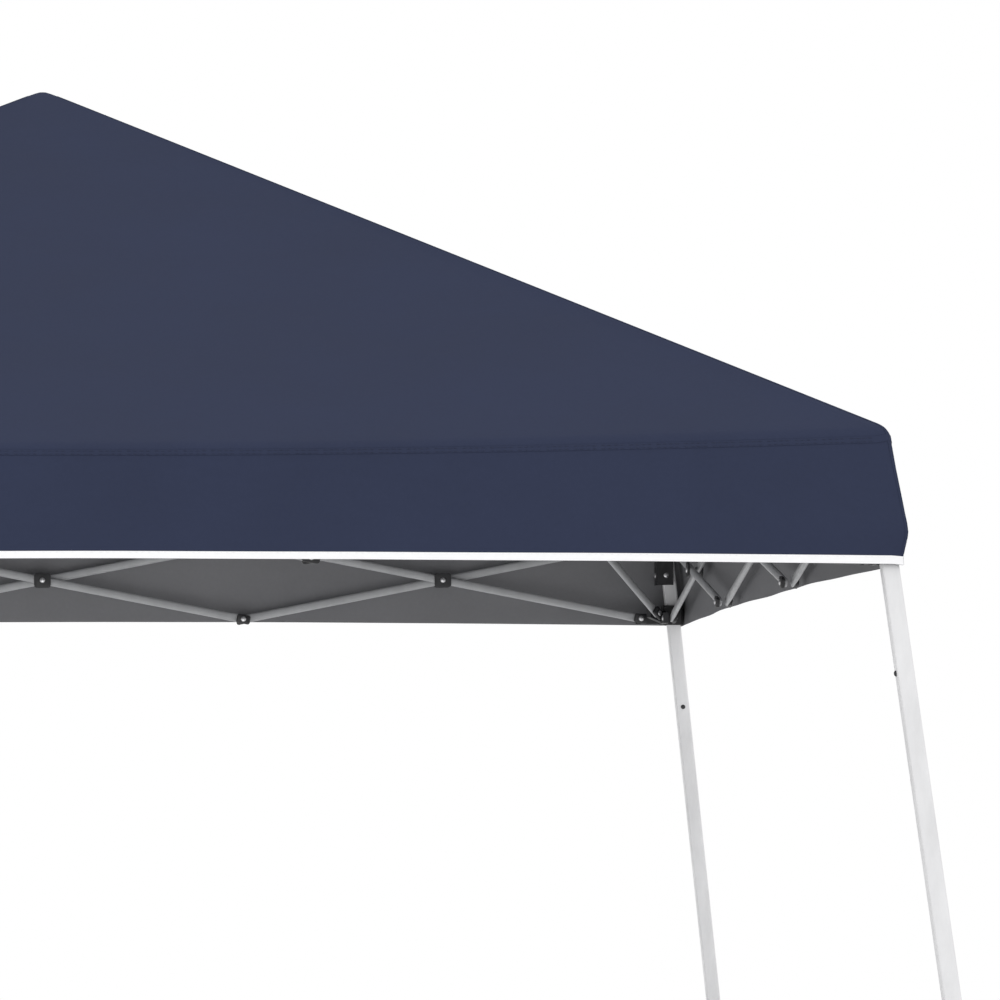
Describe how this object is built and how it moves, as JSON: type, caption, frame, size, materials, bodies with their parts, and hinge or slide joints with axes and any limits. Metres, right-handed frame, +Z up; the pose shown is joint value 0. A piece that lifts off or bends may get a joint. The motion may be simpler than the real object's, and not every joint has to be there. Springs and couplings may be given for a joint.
{
  "type": "pop up canopy",
  "caption": "Folding slant-leg shelter: scissor-truss steel frame with telescoping legs under a four-sided peaked fabric top with a valance.",
  "frame": {"origin": "on the ground, under the peak, at the centre of the bounding box", "axes": "+Z up, +Y to the back, +X to the right; the frame is square and turns onto itself every 90 degrees about Z"},
  "size_m": [2.9456, 2.9456, 2.6],
  "materials": {
    "white_steel": "light grey powder coat, satin",
    "grey_steel": "grey powder coat, satin",
    "black_plastic": "moulded black nylon",
    "navy_fabric": "woven navy polyester, matte"
  },
  "bodies": {
    "top_bracket_front_right": {"top_bracket_front_right": "black_plastic"},
    "slider_front_right": {"slider_front_right": "black_plastic"},
    "upper_leg_front_right": {"upper_leg_front_right": "white_steel"},
    "lower_leg_front_right": {"lower_leg_front_right": "white_steel"},
    "lower_rib_front_right": {"lower_rib_front_right": "grey_steel"},
    "upper_rib_front_right": {"upper_rib_front_right": "grey_steel"},
    "strut_front_right": {"strut_front_right": "grey_steel"},
    "top_bracket_back_right": {"top_bracket_back_right": "black_plastic"},
    "slider_back_right": {"slider_back_right": "black_plastic"},
    "upper_leg_back_right": {"upper_leg_back_right": "white_steel"},
    "lower_leg_back_right": {"lower_leg_back_right": "white_steel"},
    "lower_rib_back_right": {"lower_rib_back_right": "grey_steel"},
    "upper_rib_back_right": {"upper_rib_back_right": "grey_steel"},
    "strut_back_right": {"strut_back_right": "grey_steel"},
    "top_bracket_back_left": {"top_bracket_back_left": "black_plastic"},
    "slider_back_left": {"slider_back_left": "black_plastic"},
    "upper_leg_back_left": {"upper_leg_back_left": "white_steel"},
    "lower_leg_back_left": {"lower_leg_back_left": "white_steel"},
    "lower_rib_back_left": {"lower_rib_back_left": "grey_steel"},
    "upper_rib_back_left": {"upper_rib_back_left": "grey_steel"},
    "strut_back_left": {"strut_back_left": "grey_steel"},
    "top_bracket_front_left": {"top_bracket_front_left": "black_plastic"},
    "slider_front_left": {"slider_front_left": "black_plastic"},
    "upper_leg_front_left": {"upper_leg_front_left": "white_steel"},
    "lower_leg_front_left": {"lower_leg_front_left": "white_steel"},
    "lower_rib_front_left": {"lower_rib_front_left": "grey_steel"},
    "upper_rib_front_left": {"upper_rib_front_left": "grey_steel"},
    "strut_front_left": {"strut_front_left": "grey_steel"},
    "hub": {"hub": "black_plastic"},
    "right_bar_1_outer": {"right_bar_1_outer": "grey_steel"},
    "right_bar_1_inner": {"right_bar_1_inner": "grey_steel"},
    "right_bar_2_outer": {"right_bar_2_outer": "grey_steel"},
    "right_bar_2_inner": {"right_bar_2_inner": "grey_steel"},
    "right_bar_3_outer": {"right_bar_3_outer": "grey_steel"},
    "right_bar_3_inner": {"right_bar_3_inner": "grey_steel"},
    "canopy_right": {"canopy_right": "navy_fabric"},
    "back_bar_1_outer": {"back_bar_1_outer": "grey_steel"},
    "back_bar_1_inner": {"back_bar_1_inner": "grey_steel"},
    "back_bar_2_outer": {"back_bar_2_outer": "grey_steel"},
    "back_bar_2_inner": {"back_bar_2_inner": "grey_steel"},
    "back_bar_3_outer": {"back_bar_3_outer": "grey_steel"},
    "back_bar_3_inner": {"back_bar_3_inner": "grey_steel"},
    "canopy_back": {"canopy_back": "navy_fabric"},
    "left_bar_1_outer": {"left_bar_1_outer": "grey_steel"},
    "left_bar_1_inner": {"left_bar_1_inner": "grey_steel"},
    "left_bar_2_outer": {"left_bar_2_outer": "grey_steel"},
    "left_bar_2_inner": {"left_bar_2_inner": "grey_steel"},
    "left_bar_3_outer": {"left_bar_3_outer": "grey_steel"},
    "left_bar_3_inner": {"left_bar_3_inner": "grey_steel"},
    "canopy_left": {"canopy_left": "navy_fabric"},
    "front_bar_1_outer": {"front_bar_1_outer": "grey_steel"},
    "front_bar_1_inner": {"front_bar_1_inner": "grey_steel"},
    "front_bar_2_outer": {"front_bar_2_outer": "grey_steel"},
    "front_bar_2_inner": {"front_bar_2_inner": "grey_steel"},
    "front_bar_3_outer": {"front_bar_3_outer": "grey_steel"},
    "front_bar_3_inner": {"front_bar_3_inner": "grey_steel"},
    "canopy_front": {"canopy_front": "navy_fabric"}
  },
  "joints": [
    {"name": "fold", "type": "hinge", "parent": "hub", "child": "upper_rib_front_right", "pos_m": [0.02354, -0.02354, 2.56296], "axis": [0.7071, 0.7071, 0], "range_deg": [0, 68]},
    {"name": "elbow_front_right", "type": "hinge", "parent": "upper_rib_front_right", "child": "lower_rib_front_right", "pos_m": [0.8828, -0.8828, 2.072], "axis": [-0.7071, -0.7071, 0], "range_deg": [0, 136]},
    {"name": "rib_foot_front_right", "type": "hinge", "parent": "lower_rib_front_right", "child": "top_bracket_front_right", "pos_m": [1.18383, -1.18383, 1.9], "axis": [0.7071, 0.7071, 0], "range_deg": [0, 68]},
    {"name": "hub_back_right", "type": "hinge", "parent": "hub", "child": "upper_rib_back_right", "pos_m": [0.02354, 0.02354, 2.56296], "axis": [-0.7071, 0.7071, 0], "range_deg": [0, 68]},
    {"name": "elbow_back_right", "type": "hinge", "parent": "upper_rib_back_right", "child": "lower_rib_back_right", "pos_m": [0.8828, 0.8828, 2.072], "axis": [0.7071, -0.7071, 0], "range_deg": [0, 136]},
    {"name": "rib_foot_back_right", "type": "hinge", "parent": "lower_rib_back_right", "child": "top_bracket_back_right", "pos_m": [1.18383, 1.18383, 1.9], "axis": [-0.7071, 0.7071, 0], "range_deg": [0, 68]},
    {"name": "hub_back_left", "type": "hinge", "parent": "hub", "child": "upper_rib_back_left", "pos_m": [-0.02354, 0.02354, 2.56296], "axis": [-0.7071, -0.7071, 0], "range_deg": [0, 68]},
    {"name": "elbow_back_left", "type": "hinge", "parent": "upper_rib_back_left", "child": "lower_rib_back_left", "pos_m": [-0.8828, 0.8828, 2.072], "axis": [0.7071, 0.7071, 0], "range_deg": [0, 136]},
    {"name": "rib_foot_back_left", "type": "hinge", "parent": "lower_rib_back_left", "child": "top_bracket_back_left", "pos_m": [-1.18383, 1.18383, 1.9], "axis": [-0.7071, -0.7071, 0], "range_deg": [0, 68]},
    {"name": "hub_front_left", "type": "hinge", "parent": "hub", "child": "upper_rib_front_left", "pos_m": [-0.02354, -0.02354, 2.56296], "axis": [0.7071, -0.7071, 0], "range_deg": [0, 68]},
    {"name": "elbow_front_left", "type": "hinge", "parent": "upper_rib_front_left", "child": "lower_rib_front_left", "pos_m": [-0.8828, -0.8828, 2.072], "axis": [-0.7071, 0.7071, 0], "range_deg": [0, 136]},
    {"name": "rib_foot_front_left", "type": "hinge", "parent": "lower_rib_front_left", "child": "top_bracket_front_left", "pos_m": [-1.18383, -1.18383, 1.9], "axis": [0.7071, -0.7071, 0], "range_deg": [0, 68]},
    {"name": "strut_hinge_front_right", "type": "hinge", "parent": "lower_rib_front_right", "child": "strut_front_right", "pos_m": [0.87853, -0.87853, 2.05708], "axis": [0.7071, 0.7071, 0], "range_deg": [0, 87.57]},
    {"name": "leg_tilt_front_right", "type": "hinge", "parent": "top_bracket_front_right", "child": "upper_leg_front_right", "pos_m": [1.20928, -1.20928, 1.9], "axis": [0.7071, 0.7071, 0], "range_deg": [0, 7.43]},
    {"name": "leg_length_front_right", "type": "slide", "parent": "upper_leg_front_right", "child": "lower_leg_front_right", "axis": [-0.1135, 0.1135, 0.987], "range_m": [0, 0.65]},
    {"name": "right_top_pin", "type": "hinge", "parent": "top_bracket_front_right", "child": "right_bar_1_outer", "pos_m": [1.20928, -1.16028, 1.9], "axis": [-1, 0, 0], "range_deg": [0, 68]},
    {"name": "right_cross_1", "type": "hinge", "parent": "right_bar_1_outer", "child": "right_bar_1_inner", "pos_m": [1.20928, -0.77352, 1.82482], "axis": [1, 0, 0], "range_deg": [0, 136]},
    {"name": "right_low_pin_1", "type": "hinge", "parent": "right_bar_1_outer", "child": "right_bar_2_inner", "pos_m": [1.20928, -0.38676, 1.74964], "axis": [1, 0, 0], "range_deg": [0, 136]},
    {"name": "right_cross_2", "type": "hinge", "parent": "right_bar_2_inner", "child": "right_bar_2_outer", "pos_m": [1.20928, 0, 1.82482], "axis": [-1, 0, 0], "range_deg": [0, 136]},
    {"name": "right_high_pin_2", "type": "hinge", "parent": "right_bar_2_inner", "child": "right_bar_3_outer", "pos_m": [1.20928, 0.38676, 1.9], "axis": [-1, 0, 0], "range_deg": [0, 136]},
    {"name": "right_cross_3", "type": "hinge", "parent": "right_bar_3_outer", "child": "right_bar_3_inner", "pos_m": [1.20928, 0.77352, 1.82482], "axis": [1, 0, 0], "range_deg": [0, 136]},
    {"name": "slider_pin_front_right", "type": "hinge", "parent": "right_bar_1_inner", "child": "slider_front_right", "pos_m": [1.20928, -1.16028, 1.74964], "axis": [-1, 0, 0], "range_deg": [0, 68]},
    {"name": "canopy_hinge_right", "type": "hinge", "parent": "hub", "child": "canopy_right", "pos_m": [0, 0, 2.6], "axis": [0, 1, 0], "range_deg": [0, 42.63], "deforming": ["canopy_right"]},
    {"name": "strut_hinge_back_right", "type": "hinge", "parent": "lower_rib_back_right", "child": "strut_back_right", "pos_m": [0.87853, 0.87853, 2.05708], "axis": [-0.7071, 0.7071, 0], "range_deg": [0, 87.57]},
    {"name": "leg_tilt_back_right", "type": "hinge", "parent": "top_bracket_back_right", "child": "upper_leg_back_right", "pos_m": [1.20928, 1.20928, 1.9], "axis": [-0.7071, 0.7071, 0], "range_deg": [0, 7.43]},
    {"name": "leg_length_back_right", "type": "slide", "parent": "upper_leg_back_right", "child": "lower_leg_back_right", "axis": [-0.1135, -0.1135, 0.987], "range_m": [0, 0.65]},
    {"name": "back_top_pin", "type": "hinge", "parent": "top_bracket_back_right", "child": "back_bar_1_outer", "pos_m": [1.16028, 1.20928, 1.9], "axis": [0, -1, 0], "range_deg": [0, 68]},
    {"name": "back_cross_1", "type": "hinge", "parent": "back_bar_1_outer", "child": "back_bar_1_inner", "pos_m": [0.77352, 1.20928, 1.82482], "axis": [0, 1, 0], "range_deg": [0, 136]},
    {"name": "back_low_pin_1", "type": "hinge", "parent": "back_bar_1_outer", "child": "back_bar_2_inner", "pos_m": [0.38676, 1.20928, 1.74964], "axis": [0, 1, 0], "range_deg": [0, 136]},
    {"name": "back_cross_2", "type": "hinge", "parent": "back_bar_2_inner", "child": "back_bar_2_outer", "pos_m": [0, 1.20928, 1.82482], "axis": [0, -1, 0], "range_deg": [0, 136]},
    {"name": "back_high_pin_2", "type": "hinge", "parent": "back_bar_2_inner", "child": "back_bar_3_outer", "pos_m": [-0.38676, 1.20928, 1.9], "axis": [0, -1, 0], "range_deg": [0, 136]},
    {"name": "back_cross_3", "type": "hinge", "parent": "back_bar_3_outer", "child": "back_bar_3_inner", "pos_m": [-0.77352, 1.20928, 1.82482], "axis": [0, 1, 0], "range_deg": [0, 136]},
    {"name": "slider_pin_back_right", "type": "hinge", "parent": "back_bar_1_inner", "child": "slider_back_right", "pos_m": [1.16028, 1.20928, 1.74964], "axis": [0, -1, 0], "range_deg": [0, 68]},
    {"name": "canopy_hinge_back", "type": "hinge", "parent": "hub", "child": "canopy_back", "pos_m": [0, 0, 2.6], "axis": [-1, 0, 0], "range_deg": [0, 42.63], "deforming": ["canopy_back"]},
    {"name": "strut_hinge_back_left", "type": "hinge", "parent": "lower_rib_back_left", "child": "strut_back_left", "pos_m": [-0.87853, 0.87853, 2.05708], "axis": [-0.7071, -0.7071, 0], "range_deg": [0, 87.57]},
    {"name": "leg_tilt_back_left", "type": "hinge", "parent": "top_bracket_back_left", "child": "upper_leg_back_left", "pos_m": [-1.20928, 1.20928, 1.9], "axis": [-0.7071, -0.7071, 0], "range_deg": [0, 7.43]},
    {"name": "leg_length_back_left", "type": "slide", "parent": "upper_leg_back_left", "child": "lower_leg_back_left", "axis": [0.1135, -0.1135, 0.987], "range_m": [0, 0.65]},
    {"name": "left_top_pin", "type": "hinge", "parent": "top_bracket_back_left", "child": "left_bar_1_outer", "pos_m": [-1.20928, 1.16028, 1.9], "axis": [1, 0, 0], "range_deg": [0, 68]},
    {"name": "left_cross_1", "type": "hinge", "parent": "left_bar_1_outer", "child": "left_bar_1_inner", "pos_m": [-1.20928, 0.77352, 1.82482], "axis": [-1, 0, 0], "range_deg": [0, 136]},
    {"name": "left_low_pin_1", "type": "hinge", "parent": "left_bar_1_outer", "child": "left_bar_2_inner", "pos_m": [-1.20928, 0.38676, 1.74964], "axis": [-1, 0, 0], "range_deg": [0, 136]},
    {"name": "left_cross_2", "type": "hinge", "parent": "left_bar_2_inner", "child": "left_bar_2_outer", "pos_m": [-1.20928, 0, 1.82482], "axis": [1, 0, 0], "range_deg": [0, 136]},
    {"name": "left_high_pin_2", "type": "hinge", "parent": "left_bar_2_inner", "child": "left_bar_3_outer", "pos_m": [-1.20928, -0.38676, 1.9], "axis": [1, 0, 0], "range_deg": [0, 136]},
    {"name": "left_cross_3", "type": "hinge", "parent": "left_bar_3_outer", "child": "left_bar_3_inner", "pos_m": [-1.20928, -0.77352, 1.82482], "axis": [-1, 0, 0], "range_deg": [0, 136]},
    {"name": "slider_pin_back_left", "type": "hinge", "parent": "left_bar_1_inner", "child": "slider_back_left", "pos_m": [-1.20928, 1.16028, 1.74964], "axis": [1, 0, 0], "range_deg": [0, 68]},
    {"name": "canopy_hinge_left", "type": "hinge", "parent": "hub", "child": "canopy_left", "pos_m": [0, 0, 2.6], "axis": [0, -1, 0], "range_deg": [0, 42.63], "deforming": ["canopy_left"]},
    {"name": "strut_hinge_front_left", "type": "hinge", "parent": "lower_rib_front_left", "child": "strut_front_left", "pos_m": [-0.87853, -0.87853, 2.05708], "axis": [0.7071, -0.7071, 0], "range_deg": [0, 87.57]},
    {"name": "leg_tilt_front_left", "type": "hinge", "parent": "top_bracket_front_left", "child": "upper_leg_front_left", "pos_m": [-1.20928, -1.20928, 1.9], "axis": [0.7071, -0.7071, 0], "range_deg": [0, 7.43]},
    {"name": "leg_length_front_left", "type": "slide", "parent": "upper_leg_front_left", "child": "lower_leg_front_left", "axis": [0.1135, 0.1135, 0.987], "range_m": [0, 0.65]},
    {"name": "front_top_pin", "type": "hinge", "parent": "top_bracket_front_left", "child": "front_bar_1_outer", "pos_m": [-1.16028, -1.20928, 1.9], "axis": [0, 1, 0], "range_deg": [0, 68]},
    {"name": "front_cross_1", "type": "hinge", "parent": "front_bar_1_outer", "child": "front_bar_1_inner", "pos_m": [-0.77352, -1.20928, 1.82482], "axis": [0, -1, 0], "range_deg": [0, 136]},
    {"name": "front_low_pin_1", "type": "hinge", "parent": "front_bar_1_outer", "child": "front_bar_2_inner", "pos_m": [-0.38676, -1.20928, 1.74964], "axis": [0, -1, 0], "range_deg": [0, 136]},
    {"name": "front_cross_2", "type": "hinge", "parent": "front_bar_2_inner", "child": "front_bar_2_outer", "pos_m": [0, -1.20928, 1.82482], "axis": [0, 1, 0], "range_deg": [0, 136]},
    {"name": "front_high_pin_2", "type": "hinge", "parent": "front_bar_2_inner", "child": "front_bar_3_outer", "pos_m": [0.38676, -1.20928, 1.9], "axis": [0, 1, 0], "range_deg": [0, 136]},
    {"name": "front_cross_3", "type": "hinge", "parent": "front_bar_3_outer", "child": "front_bar_3_inner", "pos_m": [0.77352, -1.20928, 1.82482], "axis": [0, -1, 0], "range_deg": [0, 136]},
    {"name": "slider_pin_front_left", "type": "hinge", "parent": "front_bar_1_inner", "child": "slider_front_left", "pos_m": [-1.16028, -1.20928, 1.74964], "axis": [0, 1, 0], "range_deg": [0, 68]},
    {"name": "canopy_hinge_front", "type": "hinge", "parent": "hub", "child": "canopy_front", "pos_m": [0, 0, 2.6], "axis": [1, 0, 0], "range_deg": [0, 42.63], "deforming": ["canopy_front"]}
  ],
  "couplings": [
    {"joint": "elbow_front_right", "follows": "fold", "ratio": 2},
    {"joint": "rib_foot_front_right", "follows": "fold", "ratio": 1},
    {"joint": "hub_back_right", "follows": "fold", "ratio": 1},
    {"joint": "elbow_back_right", "follows": "fold", "ratio": 2},
    {"joint": "rib_foot_back_right", "follows": "fold", "ratio": 1},
    {"joint": "hub_back_left", "follows": "fold", "ratio": 1},
    {"joint": "elbow_back_left", "follows": "fold", "ratio": 2},
    {"joint": "rib_foot_back_left", "follows": "fold", "ratio": 1},
    {"joint": "hub_front_left", "follows": "fold", "ratio": 1},
    {"joint": "elbow_front_left", "follows": "fold", "ratio": 2},
    {"joint": "rib_foot_front_left", "follows": "fold", "ratio": 1},
    {"joint": "strut_hinge_front_right", "follows": "fold", "ratio": 1.2878},
    {"joint": "leg_tilt_front_right", "follows": "fold", "ratio": 0.10922},
    {"joint": "right_top_pin", "follows": "fold", "ratio": 1},
    {"joint": "right_cross_1", "follows": "fold", "ratio": 2},
    {"joint": "right_low_pin_1", "follows": "fold", "ratio": 2},
    {"joint": "right_cross_2", "follows": "fold", "ratio": 2},
    {"joint": "right_high_pin_2", "follows": "fold", "ratio": 2},
    {"joint": "right_cross_3", "follows": "fold", "ratio": 2},
    {"joint": "slider_pin_front_right", "follows": "fold", "ratio": 1},
    {"joint": "canopy_hinge_right", "follows": "fold", "ratio": 0.62691},
    {"joint": "strut_hinge_back_right", "follows": "fold", "ratio": 1.2878},
    {"joint": "leg_tilt_back_right", "follows": "fold", "ratio": 0.10922},
    {"joint": "back_top_pin", "follows": "fold", "ratio": 1},
    {"joint": "back_cross_1", "follows": "fold", "ratio": 2},
    {"joint": "back_low_pin_1", "follows": "fold", "ratio": 2},
    {"joint": "back_cross_2", "follows": "fold", "ratio": 2},
    {"joint": "back_high_pin_2", "follows": "fold", "ratio": 2},
    {"joint": "back_cross_3", "follows": "fold", "ratio": 2},
    {"joint": "slider_pin_back_right", "follows": "fold", "ratio": 1},
    {"joint": "canopy_hinge_back", "follows": "fold", "ratio": 0.62691},
    {"joint": "strut_hinge_back_left", "follows": "fold", "ratio": 1.2878},
    {"joint": "leg_tilt_back_left", "follows": "fold", "ratio": 0.10922},
    {"joint": "left_top_pin", "follows": "fold", "ratio": 1},
    {"joint": "left_cross_1", "follows": "fold", "ratio": 2},
    {"joint": "left_low_pin_1", "follows": "fold", "ratio": 2},
    {"joint": "left_cross_2", "follows": "fold", "ratio": 2},
    {"joint": "left_high_pin_2", "follows": "fold", "ratio": 2},
    {"joint": "left_cross_3", "follows": "fold", "ratio": 2},
    {"joint": "slider_pin_back_left", "follows": "fold", "ratio": 1},
    {"joint": "canopy_hinge_left", "follows": "fold", "ratio": 0.62691},
    {"joint": "strut_hinge_front_left", "follows": "fold", "ratio": 1.2878},
    {"joint": "leg_tilt_front_left", "follows": "fold", "ratio": 0.10922},
    {"joint": "front_top_pin", "follows": "fold", "ratio": 1},
    {"joint": "front_cross_1", "follows": "fold", "ratio": 2},
    {"joint": "front_low_pin_1", "follows": "fold", "ratio": 2},
    {"joint": "front_cross_2", "follows": "fold", "ratio": 2},
    {"joint": "front_high_pin_2", "follows": "fold", "ratio": 2},
    {"joint": "front_cross_3", "follows": "fold", "ratio": 2},
    {"joint": "slider_pin_front_left", "follows": "fold", "ratio": 1},
    {"joint": "canopy_hinge_front", "follows": "fold", "ratio": 0.62691}
  ]
}
